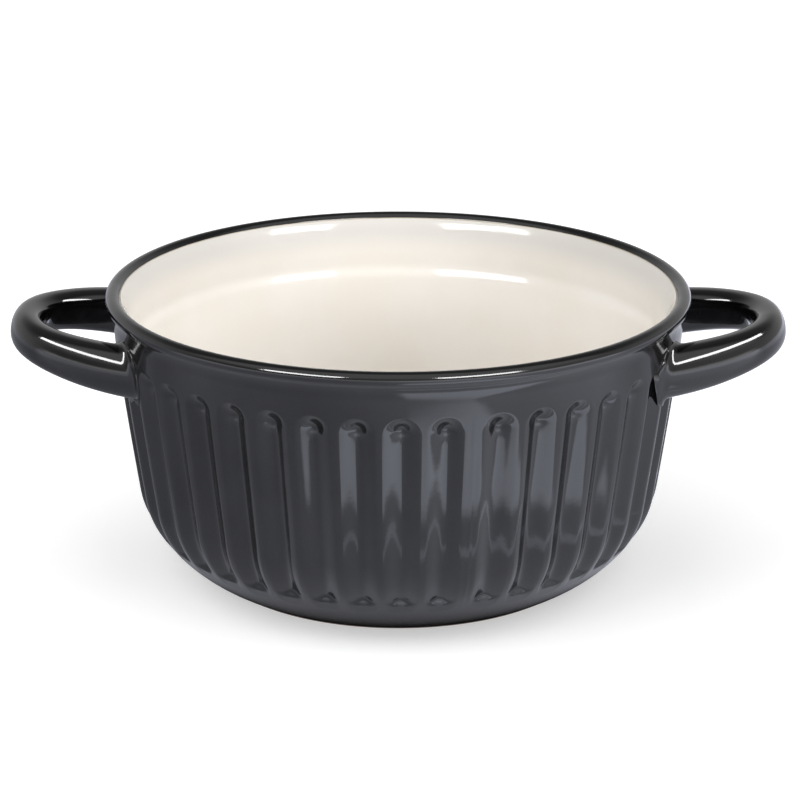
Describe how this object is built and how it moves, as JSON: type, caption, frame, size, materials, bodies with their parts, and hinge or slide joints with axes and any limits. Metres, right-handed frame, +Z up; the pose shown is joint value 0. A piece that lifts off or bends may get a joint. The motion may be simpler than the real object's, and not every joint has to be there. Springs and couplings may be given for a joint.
{
  "type": "cazuela",
  "caption": "Round stoneware casserole with a fluted charcoal wall, rolled rim, cream-glazed inside and a loop handle on each side, for baking, braising and serving.",
  "frame": {"origin": "centre of the foot ring's underside, on the surface that the pot stands on", "axes": "+Z up along the pot's axis, +X towards the right-hand handle, -Y towards the front"},
  "size_m": [0.3194, 0.24, 0.12],
  "materials": {
    "charcoal_glaze": "glossy charcoal-grey glaze on stoneware, bare brown clay on the underside of the foot",
    "cream_glaze": "glossy warm cream glaze"
  },
  "bodies": {
    "root": {"fluted_bowl": "charcoal_glaze", "cream_lining": "cream_glaze", "right_handle": "charcoal_glaze", "left_handle": "charcoal_glaze", "right_front_slip_joint": "charcoal_glaze", "right_back_slip_joint": "charcoal_glaze", "left_front_slip_joint": "charcoal_glaze", "left_back_slip_joint": "charcoal_glaze"}
  },
  "joints": []
}
